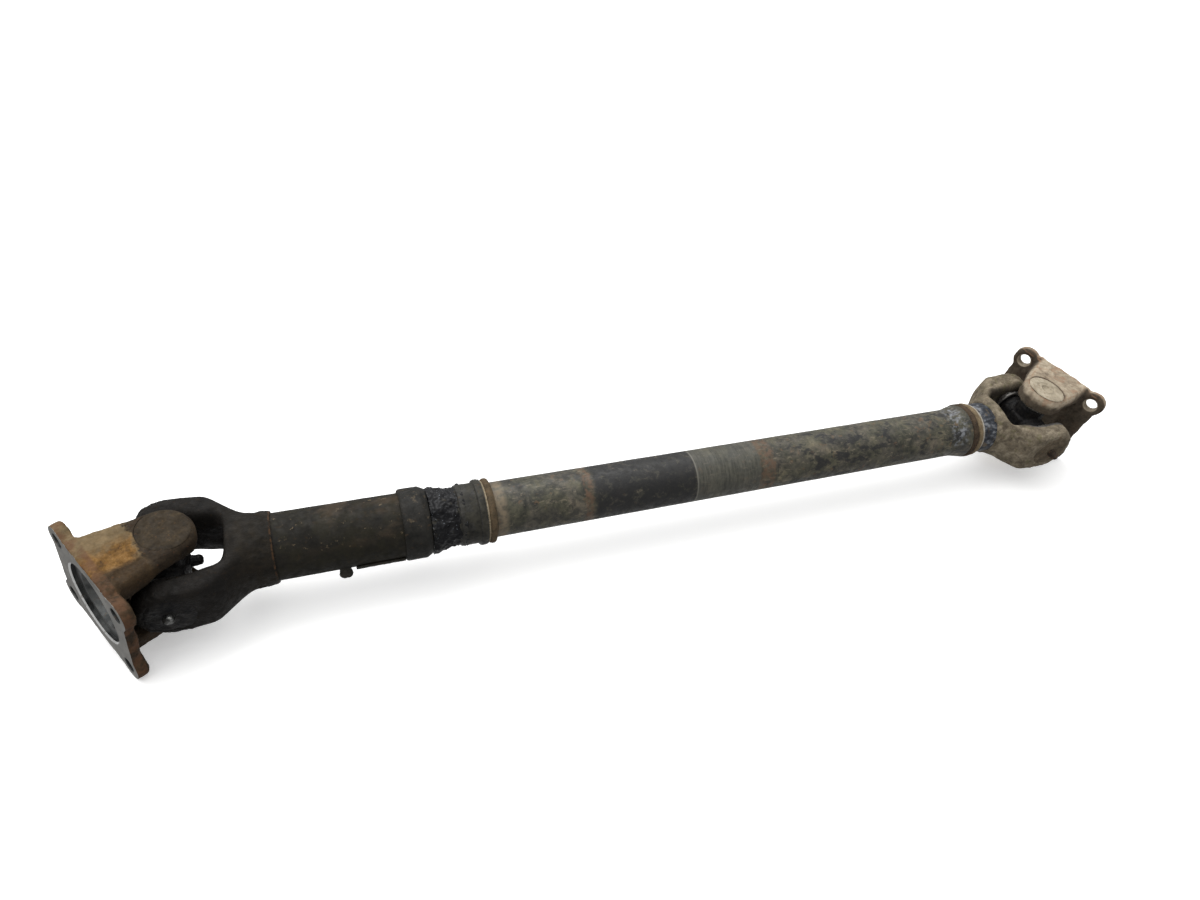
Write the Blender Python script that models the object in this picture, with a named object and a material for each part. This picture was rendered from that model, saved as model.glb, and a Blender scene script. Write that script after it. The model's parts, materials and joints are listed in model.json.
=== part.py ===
"""Propeller shaft: a tube with a sliding spline, a cross joint at each end and square bolt flanges.

Everything is drawn in millimetres and written to the meshes in metres, +Z up.  The shaft lies
level along X, with both joints bent, and the lowest flange corner stands on Z = 0.

Frames, each an empty that its pieces are parented to:
  shaft_frame         left joint centre, X along the shaft, Y along the shaft yokes' trunnions
  NAME_cross_frame    joint centre NAME, turned about the shaft trunnions (its Y)
  NAME_flange_frame   the same centre, turned about the flange trunnions (its Z)
"""
import math

import bmesh
import bpy
from mathutils import Matrix, Vector

MM = 0.001
GAP = 0.3                     # clearance between neighbouring pieces
SEGMENTS = 32                 # facets of large round pieces
SMALL_SEGMENTS = 20           # facets of trunnions, cups and holes
SHARP_ANGLE = math.radians(32)

# Shaft line, distances from the left joint centre along X
JOINT_SPAN = 730.0
TUBE_R = 21.0
TUBE_WALL = 2.0
NECK_END = 67.5               # end of the slip yoke's neck, start of its sleeve
SLEEVE_R = 24.0
CAP_START = 155.5
CAP_END = 175.0
CAP_R = 26.5
COLLAR_START = 197.0
COLLAR_R = 23.0
RIDGE_START = 210.8
RIDGE_END = 216.0
RIDGE_R = 24.6
TUBE_START = 223.0
TUBE_END = 654.0
BEAD_R = 24.2
YOKE_BEAD_R = 23.8
NIPPLE_X = 113.5              # grease nipple under the sleeve
NIPPLE_TURN = Matrix.Rotation(math.radians(-49.0), 4, "X")
WEIGHT_START = 120.0          # balance weight under the sleeve
WEIGHT_END = 155.0

# Spline
SPLINE_TEETH = 14
SPLINE_TIP_R = 18.4
SPLINE_ROOT_R = 16.4
SPLINE_START = 80.0

# Cross joint, distances from its centre
TRUNNION_R = 9.2
TRUNNION_END = 34.2
SHOULDER_R = 12.5
SHOULDER_END = 20.0
CUP_R = 14.5
CUP_WALL = 2.4
CUP_START = 20.4
CUP_END = 36.6
RING_END = 38.1
RING_R = 15.6
EAR_IN = 23.5
EAR_CHAMFER = 3.5
INNER_CHAMFER = 4.5             # on the inner edges, so that both pins can bend at once
CROTCH_X = 8.0                # centre of the round bottom between a yoke's ears
EAR_R = 19.5                  # ears of the flange yokes
EAR_OUT = 38.6
SHAFT_EAR_R = 22.5            # heavier ears of the slip yoke and the weld yoke
SHAFT_EAR_OUT = 42.0
MAX_BEND = math.radians(33)    # room cut for the other yoke's ears

# Flanges
FLANGE_X = 50.0
FLANGE_THICK = 8.0
BOLT_EAR = 29.0               # half of the bolt spacing from ear to ear
BOLT_SIDE = 35.5              # half of the bolt spacing across the ears
BOLT_R = 5.4
LUG_R = 11.0
WAIST_EAR = 39.2
WAIST_SIDE = 39.5
ARM_FLARE = 6.4               # how much wider an ear's arm is where it meets the flange
PILOT_R = 29.5
PILOT_DEPTH = 3.5
HOLLOW_R = 21.0
HOLLOW_DEPTH = 9.0

# Pose of the joints as the shaft lies on a floor, degrees
ROLL = 14.0                   # of the shaft's trunnions about X
PITCH = {"left": 6.5, "right": 8.1}
YAW = {"left": 29.3, "right": 26.1}

FINISHES = {
    "rusty_paint": ((0.060, 0.055, 0.046), 0.75, 0.3),
    "greasy_iron": ((0.030, 0.025, 0.020), 0.55, 0.4),
    "rusty_iron": ((0.300, 0.210, 0.110), 0.80, 0.3),
    "dusty_iron": ((0.340, 0.300, 0.230), 0.80, 0.3),
    "weld": ((0.160, 0.090, 0.050), 0.85, 0.3),
    "bearing_steel": ((0.450, 0.440, 0.420), 0.35, 1.0),
    "ground_steel": ((0.520, 0.500, 0.470), 0.30, 1.0),
    "rubber": ((0.020, 0.020, 0.020), 0.80, 0.0),
    "felt": ((0.100, 0.090, 0.070), 0.95, 0.0),
}


# ---------------------------------------------------------------- mesh helpers

def clear_scene():
    for item in list(bpy.data.objects):
        bpy.data.objects.remove(item, do_unlink=True)


def to_mesh(bm):
    bmesh.ops.recalc_face_normals(bm, faces=bm.faces)
    mesh = bpy.data.meshes.new("solid")
    bm.to_mesh(mesh)
    bm.free()
    return mesh


def moved(mesh, matrix):
    mesh.transform(matrix)
    return mesh


def lathe(profile, segments=SEGMENTS):
    """Turn a profile of (x, radius) points about X.

    A profile that starts and ends on the axis makes a solid, any other a ring.
    """
    bm = bmesh.new()
    rings = []
    for x, radius in profile:
        if radius == 0:
            rings.append([bm.verts.new((x * MM, 0, 0))] * segments)
            continue
        angles = [2 * math.pi * i / segments for i in range(segments)]
        rings.append([bm.verts.new((x * MM, radius * math.cos(a) * MM, radius * math.sin(a) * MM))
                      for a in angles])
    count = len(rings)
    pairs = range(count - 1) if profile[0][1] == 0 else range(count)
    for k in pairs:
        here, there = rings[k], rings[(k + 1) % count]
        for i in range(segments):
            j = (i + 1) % segments
            corners = []
            for corner in (here[i], here[j], there[j], there[i]):
                if corner not in corners:
                    corners.append(corner)
            bm.faces.new(corners)
    return to_mesh(bm)


def stack(outlines):
    """Loft closed outlines, lists of 3-D points in millimetres, and cap both ends."""
    bm = bmesh.new()
    loops = [[bm.verts.new(Vector(p) * MM) for p in outline] for outline in outlines]
    size = len(loops[0])
    for here, there in zip(loops, loops[1:]):
        for i in range(size):
            j = (i + 1) % size
            bm.faces.new((here[i], here[j], there[j], there[i]))
    caps = [bm.faces.new(loops[0]), bm.faces.new(loops[-1])]
    bmesh.ops.triangulate(bm, faces=caps, ngon_method="EAR_CLIP")
    return to_mesh(bm)


def box(low, high):
    x0, y0, z0 = low
    x1, y1, z1 = high
    outlines = [[(x0, y0, z), (x1, y0, z), (x1, y1, z), (x0, y1, z)] for z in (z0, z1)]
    return stack(outlines)


def rod(axis, radius, low, high, segments=SMALL_SEGMENTS, centre=(0, 0, 0)):
    """Solid cylinder along X, Y or Z between two stations."""
    mesh = lathe([(low, 0), (low, radius), (high, radius), (high, 0)], segments)
    if axis == "Y":
        moved(mesh, Matrix.Rotation(math.radians(90), 4, "Z"))
    if axis == "Z":
        moved(mesh, Matrix.Rotation(math.radians(-90), 4, "Y"))
    return moved(mesh, Matrix.Translation(Vector(centre) * MM))


def combine(base, tools, operation, solver="EXACT"):
    """Boolean of a mesh with each tool mesh in turn."""
    for tool in tools:
        target = bpy.data.objects.new("target", base)
        cutter = bpy.data.objects.new("cutter", tool)
        for item in (target, cutter):
            bpy.context.scene.collection.objects.link(item)
        modifier = target.modifiers.new("boolean", "BOOLEAN")
        modifier.operation = operation
        modifier.solver = solver
        modifier.object = cutter
        bpy.context.view_layer.update()
        depsgraph = bpy.context.evaluated_depsgraph_get()
        base = bpy.data.meshes.new_from_object(target.evaluated_get(depsgraph))
        bpy.data.objects.remove(target, do_unlink=True)
        bpy.data.objects.remove(cutter, do_unlink=True)
    return base


def unite(base, *tools, solver="EXACT"):
    return combine(base, tools, "UNION", solver)


def cut(base, *tools, solver="EXACT"):
    return combine(base, tools, "DIFFERENCE", solver)


def finish_material(name):
    if name in bpy.data.materials:
        return bpy.data.materials[name]
    colour, roughness, metallic = FINISHES[name]
    material = bpy.data.materials.new(name)
    material.use_nodes = True
    shader = material.node_tree.nodes["Principled BSDF"]
    shader.inputs["Base Color"].default_value = (*colour, 1)
    shader.inputs["Roughness"].default_value = roughness
    shader.inputs["Metallic"].default_value = metallic
    return material


def piece(name, mesh, finish, parent):
    """One named sub-part under its frame."""
    mesh.name = name
    mesh.shade_smooth()
    mesh.set_sharp_from_angle(angle=SHARP_ANGLE)
    mesh.materials.clear()
    mesh.materials.append(finish_material(finish))
    item = bpy.data.objects.new(name, mesh)
    item.parent = parent
    bpy.context.scene.collection.objects.link(item)
    return item


def frame(name, parent=None, location=(0, 0, 0), axis="X", degrees=0.0):
    empty = bpy.data.objects.new(name, None)
    empty.parent = parent
    turn = Matrix.Rotation(math.radians(degrees), 4, axis)
    empty.matrix_local = Matrix.Translation(Vector(location) * MM) @ turn
    bpy.context.scene.collection.objects.link(empty)
    return empty


# ---------------------------------------------------------------- yokes
# A yoke is drawn with its ears at +Y and -Y and its hub towards +X.

def arc(cx, cy, radius, start, end, steps):
    points = []
    for i in range(steps + 1):
        angle = math.radians(start + (end - start) * i / steps)
        points.append((cx + radius * math.cos(angle), cy + radius * math.sin(angle)))
    return points


def shoulder(start, end, steps=7):
    """S-shaped run between two (x, y) points, level at both ends."""
    points = []
    for i in range(steps + 1):
        s = i / steps
        fall = 0.5 - 0.5 * math.cos(math.pi * s)
        points.append((start[0] + (end[0] - start[0]) * s, start[1] + (end[1] - start[1]) * fall))
    return points


def u_outline(ear_r, upper):
    """Closed outline in X and Y: the upper outer run, its mirror, and the round crotch."""
    lower = [(x, -y) for x, y in reversed(upper)]
    crotch = arc(CROTCH_X, 0, EAR_IN, -90, 90, 14)
    inner = [(-ear_r, -EAR_IN)] + crotch + [(-ear_r, EAR_IN)]
    return upper + lower + inner


def ear_outline(radius, inset, end_x, end_half):
    """Closed outline in X and Z: a round ear about the trunnion that widens towards the hub."""
    round_end = arc(0, 0, radius - inset, 90, 270, 14)
    return round_end + [(end_x, -(end_half - inset)), (end_x, end_half - inset)]


def fork(ear_r, ear_out, run, end_half):
    """Both ears and the crotch, trimmed to the ear outline with a chamfered outer edge.

    run is the upper outer outline from the ear's outer face to the hub.
    """
    end_x = run[-1][0]
    outline = u_outline(ear_r, [(-ear_r, ear_out)] + run)
    slab = stack([[(x, y, z) for x, y in outline] for z in (-end_half - 1, end_half + 1)])
    levels = [(-ear_out - GAP, EAR_CHAMFER), (-ear_out + EAR_CHAMFER, 0),
              (ear_out - EAR_CHAMFER, 0), (ear_out + GAP, EAR_CHAMFER)]
    trim = stack([[(x, y, z) for x, z in ear_outline(ear_r, inset, end_x, end_half)]
                  for y, inset in levels])
    return combine(slab, [trim], "INTERSECT")


def swing_cutters(ear_r, ear_out):
    """Room for the ears of the other yoke, bent either way about Y."""
    cutters = []
    for sign in (1, -1):
        block = box((0, -ear_r - 1, EAR_IN - 1), (ear_r + 1, ear_r + 1, ear_out + 1.4))
        if sign < 0:
            moved(block, Matrix.Rotation(math.pi, 4, "X"))
        cutters.append(moved(block, Matrix.Rotation(sign * MAX_BEND, 4, "Y")))
    return cutters


def edge_relief(half):
    """Cutters that chamfer the inner edges of the ears and the crotch on both sides."""
    cutters = []
    for turn in (0, math.pi):
        sections = []
        for grow in (-1.0, INNER_CHAMFER + 6.0):
            reach = EAR_IN + grow
            outline = [(-60, -reach)] + arc(CROTCH_X, 0, reach, -90, 90, 14) + [(-60, reach)]
            sections.append([(x, y, half - INNER_CHAMFER + grow) for x, y in outline])
        cutters.append(moved(stack(sections), Matrix.Rotation(turn, 4, "X")))
    return cutters


def bearing_bores():
    """Through bore for both cups and a snap ring groove near each outer face."""
    bore = rod("Y", CUP_R + GAP, -60, 60)
    grooves = [rod("Y", RING_R + GAP, s * (CUP_END + 0.1), s * (RING_END + GAP)) for s in (1, -1)]
    return [bore] + grooves


def flange_outline():
    """Closed outline in Y and Z: four round lugs joined by straight waists."""
    points = []
    for sy, sz in ((1, 1), (-1, 1), (-1, -1), (1, -1)):
        lug = arc(BOLT_EAR, BOLT_SIDE, LUG_R, -45, 140, 11)
        run = [(WAIST_EAR, BOLT_SIDE - LUG_R + 0.5)] + lug + [(BOLT_EAR - LUG_R - 3, WAIST_SIDE)]
        corner = [(sy * y, sz * z) for y, z in run]
        points += corner if sy * sz > 0 else corner[::-1]
    return points


def shoulder_envelope(end_x, neck_r):
    """Round solid that trims a yoke's square shoulders down to its neck."""
    run = shoulder((14, SHAFT_EAR_OUT + 8), (end_x, neck_r + 0.2))
    return lathe([(-60, 0), (-60, SHAFT_EAR_OUT + 10), (10, SHAFT_EAR_OUT + 10)] + run + [(end_x, 0)])


def flange_yoke_mesh():
    plate_x = FLANGE_X - FLANGE_THICK
    body = fork(EAR_R, EAR_OUT, [(plate_x + 1, EAR_OUT)], EAR_R + ARM_FLARE)
    outline = flange_outline()
    plate = stack([[(x, y, z) for y, z in outline] for x in (plate_x, FLANGE_X)])
    body = unite(body, plate, solver="MANIFOLD")
    holes = [rod("X", BOLT_R, plate_x - 3, FLANGE_X + 5, 16, (0, sy * BOLT_EAR, sz * BOLT_SIDE))
             for sy in (1, -1) for sz in (1, -1)]
    pilot_floor = FLANGE_X - PILOT_DEPTH
    recess = lathe([(FLANGE_X - HOLLOW_DEPTH, 0), (FLANGE_X - HOLLOW_DEPTH, HOLLOW_R - 2),
                    (pilot_floor, HOLLOW_R), (pilot_floor, PILOT_R), (FLANGE_X + 5, PILOT_R),
                    (FLANGE_X + 5, 0)])
    cutters = swing_cutters(SHAFT_EAR_R, SHAFT_EAR_OUT) + edge_relief(EAR_R + 2.2)
    cutters += bearing_bores() + holes + [recess]
    return cut(body, *cutters, solver="MANIFOLD")


def weld_yoke_mesh(neck_end, spigot_end):
    """Yoke with a turned neck and a spigot that fits inside the tube."""
    neck_r = TUBE_R + 1
    hub_r = neck_r + 1.6
    hub_end = 49
    spigot_r = TUBE_R - TUBE_WALL - GAP
    run = shoulder((24, SHAFT_EAR_OUT), (hub_end, hub_r - 1))
    body = fork(SHAFT_EAR_R, SHAFT_EAR_OUT, run, SHAFT_EAR_R)
    body = combine(body, [shoulder_envelope(hub_end, hub_r)], "INTERSECT", "MANIFOLD")
    hub = lathe([(24, 0), (24, hub_r - 1), (25, hub_r), (hub_end, hub_r), (hub_end + 0.8, neck_r),
                 (neck_end - 7, neck_r), (neck_end - 5, neck_r + 1.6), (neck_end - 1, neck_r + 1.6),
                 (neck_end, neck_r), (neck_end, spigot_r), (spigot_end, spigot_r), (spigot_end, 0)])
    cutters = swing_cutters(EAR_R, EAR_OUT) + edge_relief(SHAFT_EAR_R) + bearing_bores()
    return cut(unite(body, hub, solver="MANIFOLD"), *cutters, solver="MANIFOLD")


def spline_outline(offset):
    points = []
    for i in range(SPLINE_TEETH):
        for step, radius in ((0, SPLINE_ROOT_R), (0.3, SPLINE_ROOT_R),
                             (0.45, SPLINE_TIP_R), (0.85, SPLINE_TIP_R)):
            angle = 2 * math.pi * (i + step) / SPLINE_TEETH
            points.append(((radius + offset) * math.cos(angle), (radius + offset) * math.sin(angle)))
    return points


def splined_bar(start, end, offset=0.0):
    return stack([[(x, y, z) for y, z in spline_outline(offset)] for x in (start, end)])


def slip_yoke_mesh():
    """Yoke with a neck and a long splined sleeve, open at both ends of its bore."""
    neck_r = SLEEVE_R + 2.2
    hub_end = 56
    run = shoulder((24, SHAFT_EAR_OUT), (hub_end, neck_r - 1))
    body = fork(SHAFT_EAR_R, SHAFT_EAR_OUT, run, SHAFT_EAR_R + 2)
    body = combine(body, [shoulder_envelope(hub_end, neck_r)], "INTERSECT", "MANIFOLD")
    sleeve = lathe([(30, 0), (30, neck_r - 2), (32, neck_r), (NECK_END - 1, neck_r - 0.6),
                    (NECK_END, SLEEVE_R), (CAP_END - 7, SLEEVE_R), (CAP_END - 7, 0)])
    body = unite(body, sleeve, solver="MANIFOLD")
    bore = rod("X", SPLINE_TIP_R + GAP, 20, 55, SEGMENTS)
    teeth = splined_bar(50, CAP_END, GAP)
    nipple_hole = moved(rod("Z", 2.3, -30, 0, 12, (NIPPLE_X, 0, 0)), NIPPLE_TURN)
    cutters = swing_cutters(EAR_R, EAR_OUT) + edge_relief(SHAFT_EAR_R + 0.4)
    cutters += bearing_bores() + [bore, teeth, nipple_hole]
    return cut(body, *cutters, solver="MANIFOLD")


# ---------------------------------------------------------------- sleeve fittings

def grease_nipple_mesh(seat):
    """Nipple along +X: stem below the seat, hexagon, tapered nose and ball tip."""
    stem = [(seat - 1.8, 0), (seat - 1.8, 1.9), (seat + GAP, 1.9)]
    hexagon = [(seat + GAP, 3.5), (seat + 2.8, 3.5)]
    nose = [(seat + 3.4, 2.4), (seat + 5.2, 1.7), (seat + 6.0, 2.5), (seat + 7.4, 2.1),
            (seat + 7.8, 0)]
    return lathe(stem + hexagon + nose, 12)


def balance_weight_mesh():
    """Curved plate spot-welded to the sleeve."""
    inner = SLEEVE_R + GAP
    outer = inner + 1.7
    half = 19
    outlines = []
    for x in (WEIGHT_START, WEIGHT_END):
        ring = arc(0, 0, inner, -half, half, 6) + arc(0, 0, outer, half, -half, 6)
        outlines.append([(x, b, -a) for a, b in ring])
    return stack(outlines)


def dust_cap_mesh():
    bore = SLEEVE_R + GAP
    lip = SPLINE_TIP_R + 1
    return lathe([(CAP_START, bore), (CAP_START, CAP_R - 1.2), (CAP_START + 2, CAP_R),
                  (CAP_END - 3, CAP_R), (CAP_END, CAP_R - 2.6), (CAP_END, lip),
                  (CAP_END - 3.6, lip), (CAP_END - 3.6, bore)])


# ---------------------------------------------------------------- cross joint pieces
# Bearing pieces are turned about X, at positive distances from the joint centre.

def cross_mesh():
    """Four ground trunnions with shoulders, on a round body."""
    arm = [(-TRUNNION_END, 0), (-TRUNNION_END, TRUNNION_R - 1), (-TRUNNION_END + 1, TRUNNION_R),
           (-SHOULDER_END - 0.1, TRUNNION_R), (-SHOULDER_END, SHOULDER_R - 1.5),
           (-SHOULDER_END + 4, SHOULDER_R)]
    bar = arm + [(-x, r) for x, r in reversed(arm)]
    half_facet = Matrix.Rotation(math.pi / SMALL_SEGMENTS, 4, "X")
    first = moved(lathe(bar, SMALL_SEGMENTS), TO_Y)
    second = moved(lathe(bar, SMALL_SEGMENTS), TO_Z @ half_facet)
    core = moved(rod("Z", SHOULDER_R + 2, -7, 7, 8), Matrix.Rotation(math.radians(22.5), 4, "Z"))
    return unite(first, second, core, solver="MANIFOLD")


def cup_mesh(with_hole):
    inner = CUP_R - CUP_WALL
    floor = CUP_END - CUP_WALL + 0.6
    mouth = [(CUP_START, inner), (CUP_START, CUP_R - 0.6), (CUP_START + 0.6, CUP_R),
             (CUP_END - 0.8, CUP_R), (CUP_END, CUP_R - 0.8)]
    if with_hole:
        return lathe([(floor, 2.3)] + [(floor, inner)] + mouth + [(CUP_END, 2.3)], SMALL_SEGMENTS)
    return lathe([(floor, 0)] + [(floor, inner)] + mouth + [(CUP_END, 0)], SMALL_SEGMENTS)


def needle_set_mesh():
    """Ring of needle rollers, drawn as one fluted ring."""
    needles = 16
    low, high = CUP_START + 2.4, CUP_END - CUP_WALL - 0.4
    inner, outer = TRUNNION_R + GAP, CUP_R - CUP_WALL - GAP
    bm = bmesh.new()
    loops = []
    for x, radius, depth in ((low, outer, 0.8), (high, outer, 0.8), (high, inner, 0), (low, inner, 0)):
        loop = []
        for i in range(2 * needles):
            angle = math.pi * i / needles
            r = radius - depth * (i % 2)
            loop.append(bm.verts.new((x * MM, r * math.cos(angle) * MM, r * math.sin(angle) * MM)))
        loops.append(loop)
    for k in range(4):
        here, there = loops[k], loops[(k + 1) % 4]
        for i in range(2 * needles):
            j = (i + 1) % (2 * needles)
            bm.faces.new((here[i], here[j], there[j], there[i]))
    return to_mesh(bm)


def seal_mesh():
    inner, outer = TRUNNION_R + GAP, CUP_R - CUP_WALL - GAP
    low, high = CUP_START + 0.3, CUP_START + 2.1
    return lathe([(low, inner), (low, outer), (high, outer), (high, inner)], SMALL_SEGMENTS)


def snap_ring_mesh():
    """Open spring ring in the ear's groove, as a bar bent round the trunnion."""
    sections = []
    for i in range(17):
        angle = math.radians(20 + 20 * i)
        y, z = math.cos(angle), math.sin(angle)
        corners = ((CUP_END + 0.4, RING_R), (RING_END, RING_R),
                   (RING_END, RING_R - 2.6), (CUP_END + 0.4, RING_R - 2.6))
        sections.append([(x, radius * y, radius * z) for x, radius in corners])
    return stack(sections)


def bearing(prefix, where, turn, parent, fitting):
    """Cup, needles, seal and snap ring of one trunnion, and a grease fitting in the cup."""
    pieces = [("bearing_cup", cup_mesh(fitting), "bearing_steel"),
              ("needle_set", needle_set_mesh(), "ground_steel"),
              ("trunnion_seal", seal_mesh(), "rubber"),
              ("snap_ring", snap_ring_mesh(), "bearing_steel")]
    if fitting:
        pieces.append(("cup_grease_fitting", grease_nipple_mesh(CUP_END), "ground_steel"))
    for kind, mesh, finish in pieces:
        piece(f"{prefix}_{where}_{kind}", moved(mesh, turn), finish, parent)


# ---------------------------------------------------------------- assembly

HALF_TURN = Matrix.Rotation(math.pi, 4, "Z")
TO_Y = Matrix.Rotation(math.radians(90), 4, "Z")
TO_MINUS_Y = Matrix.Rotation(math.radians(-90), 4, "Z")
TO_Z = Matrix.Rotation(math.radians(-90), 4, "Y")
TO_MINUS_Z = Matrix.Rotation(math.radians(90), 4, "Y")
EARS_TO_Z = Matrix.Rotation(math.radians(90), 4, "X")


def build_tube(parent):
    inner = TUBE_R - TUBE_WALL
    spigot = inner - GAP
    tube = lathe([(TUBE_START, inner), (TUBE_START, TUBE_R - 1), (TUBE_START + 1.5, TUBE_R),
                  (TUBE_END - 1.5, TUBE_R), (TUBE_END, TUBE_R - 1), (TUBE_END, inner)])
    piece("tube", tube, "rusty_paint", parent)
    shank = lathe([(COLLAR_START - 4, 0), (COLLAR_START - 4, SPLINE_ROOT_R), (COLLAR_START, COLLAR_R),
                   (RIDGE_START - 0.5, COLLAR_R), (RIDGE_START, RIDGE_R), (RIDGE_END, RIDGE_R),
                   (RIDGE_END + 0.5, TUBE_R), (TUBE_START - 6.2, TUBE_R), (TUBE_START - 5.9, spigot),
                   (TUBE_START + 14, spigot), (TUBE_START + 14, 0)])
    piece("spline_stub", unite(splined_bar(SPLINE_START, COLLAR_START - 2), shank), "greasy_iron", parent)
    bead = lathe([(TUBE_START - 5.6, spigot + GAP), (TUBE_START - 5.6, BEAD_R - 0.8),
                  (TUBE_START - 4.4, BEAD_R), (TUBE_START - 1.5, BEAD_R), (TUBE_START - GAP, BEAD_R - 0.8),
                  (TUBE_START - GAP, spigot + GAP)])
    piece("stub_weld_bead", bead, "weld", parent)
    ring = lathe([(TUBE_END + GAP, spigot + GAP), (TUBE_END + GAP, YOKE_BEAD_R - 1),
                  (TUBE_END + 1.6, YOKE_BEAD_R), (TUBE_END + 4.5, YOKE_BEAD_R),
                  (TUBE_END + 5.7, YOKE_BEAD_R - 1), (TUBE_END + 5.7, spigot + GAP)])
    piece("yoke_weld_bead", ring, "weld", parent)


def build_slip_yoke(parent):
    piece("slip_yoke", slip_yoke_mesh(), "greasy_iron", parent)
    piece("dust_cap", dust_cap_mesh(), "greasy_iron", parent)
    seal = lathe([(CAP_END - 6.6, SPLINE_TIP_R + 0.6), (CAP_END - 6.6, SLEEVE_R),
                  (CAP_END - 4, SLEEVE_R), (CAP_END - 4, SPLINE_TIP_R + 0.6)])
    piece("dust_seal", seal, "felt", parent)
    plug = rod("X", SPLINE_TIP_R, 43, 45, SEGMENTS)
    piece("end_plug", plug, "bearing_steel", parent)
    nipple = moved(grease_nipple_mesh(SLEEVE_R), TO_MINUS_Z)
    moved(nipple, Matrix.Translation((NIPPLE_X * MM, 0, 0)))
    piece("sleeve_grease_nipple", moved(nipple, NIPPLE_TURN), "ground_steel", parent)
    piece("balance_weight", moved(balance_weight_mesh(), NIPPLE_TURN), "greasy_iron", parent)


def build_joint(side, shaft, location):
    """Cross, flange yoke and all four bearings of one joint."""
    cross_frame = frame(f"{side}_cross_frame", shaft, location, "Y", PITCH[side])
    flange_frame = frame(f"{side}_flange_frame", cross_frame, (0, 0, 0), "Z", YAW[side])
    outward = HALF_TURN if side == "left" else Matrix.Identity(4)
    piece(f"{side}_cross", cross_mesh(), "ground_steel", cross_frame)
    yoke = moved(flange_yoke_mesh(), outward @ EARS_TO_Z)
    finish = "rusty_iron" if side == "left" else "dusty_iron"
    piece(f"{side}_flange_yoke", yoke, finish, flange_frame)
    bearing(side, "flange_upper", TO_Z, flange_frame, False)
    bearing(side, "flange_lower", TO_MINUS_Z, flange_frame, False)
    at = Matrix.Translation(Vector(location) * MM)
    bearing(side, "shaft_near", at @ TO_MINUS_Y, shaft, True)
    bearing(side, "shaft_far", at @ TO_Y, shaft, False)


def stand_on_floor(root):
    """Move the whole shaft so that the middle of its underside is the origin."""
    bpy.context.view_layer.update()
    depsgraph = bpy.context.evaluated_depsgraph_get()
    corners = []
    for item in bpy.data.objects:
        if item.type == "MESH":
            solid = item.evaluated_get(depsgraph)
            corners += [solid.matrix_world @ v.co for v in solid.data.vertices]
    low = [min(c[i] for c in corners) for i in range(3)]
    high = [max(c[i] for c in corners) for i in range(3)]
    middle = Vector(((low[0] + high[0]) / 2, (low[1] + high[1]) / 2, low[2]))
    root.location -= middle
    bpy.context.view_layer.update()


def build():
    clear_scene()
    shaft = frame("shaft_frame", degrees=ROLL)
    build_tube(shaft)
    weld_yoke = weld_yoke_mesh(JOINT_SPAN - TUBE_END - 6, JOINT_SPAN - TUBE_END + 14)
    at_right = Matrix.Translation((JOINT_SPAN * MM, 0, 0)) @ HALF_TURN
    piece("weld_yoke", moved(weld_yoke, at_right), "dusty_iron", shaft)
    build_slip_yoke(shaft)
    build_joint("left", shaft, (0, 0, 0))
    build_joint("right", shaft, (JOINT_SPAN, 0, 0))
    stand_on_floor(shaft)


build()
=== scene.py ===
"""Look of the propeller shaft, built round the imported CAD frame.

Shapes are drawn in millimetres in the frame of the piece they belong to and placed by the
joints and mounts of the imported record:
  SHAFT                     left joint centre, X along the shaft, Y along the shaft trunnions
  WELD_YOKE                 right joint centre, X from that joint towards the tube
  LEFT_FLANGE RIGHT_FLANGE  joint centre, X out of the flange face, Z along the ears
"""
import json
import math

import bmesh
import bpy
import numpy as np
from mathutils import Matrix, Vector, noise


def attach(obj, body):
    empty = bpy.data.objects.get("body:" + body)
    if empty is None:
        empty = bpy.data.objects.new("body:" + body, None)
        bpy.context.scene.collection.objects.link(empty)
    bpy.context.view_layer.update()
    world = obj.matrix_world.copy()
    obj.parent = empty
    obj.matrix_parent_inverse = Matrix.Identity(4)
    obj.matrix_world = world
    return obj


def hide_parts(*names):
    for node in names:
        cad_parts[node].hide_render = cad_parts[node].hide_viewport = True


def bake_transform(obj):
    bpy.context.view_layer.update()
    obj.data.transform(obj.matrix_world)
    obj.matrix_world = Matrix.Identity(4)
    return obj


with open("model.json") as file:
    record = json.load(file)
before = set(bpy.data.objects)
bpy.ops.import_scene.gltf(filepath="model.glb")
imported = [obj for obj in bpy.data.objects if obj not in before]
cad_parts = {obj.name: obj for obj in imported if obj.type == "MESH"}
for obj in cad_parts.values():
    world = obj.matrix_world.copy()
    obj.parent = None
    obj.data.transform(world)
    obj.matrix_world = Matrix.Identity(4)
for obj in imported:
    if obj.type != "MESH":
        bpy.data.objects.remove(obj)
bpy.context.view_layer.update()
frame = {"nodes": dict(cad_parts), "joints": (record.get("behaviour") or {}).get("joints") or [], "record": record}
nodes = frame["nodes"]
joints = {joint["name"]: joint for joint in frame["joints"]}
mounts = {mount["name"]: mount for mount in frame["record"]["mounts"]}
MM = 0.001


# ---------------------------------------------------------------- local frames

def basis(origin, x, z):
    """Frame with its X along x and its Z as near to z as it can be."""
    x = Vector(x).normalized()
    y = Vector(z).cross(x).normalized()
    matrix = Matrix((x, y, x.cross(y))).transposed().to_4x4()
    matrix.translation = Vector(origin)
    return matrix


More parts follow.
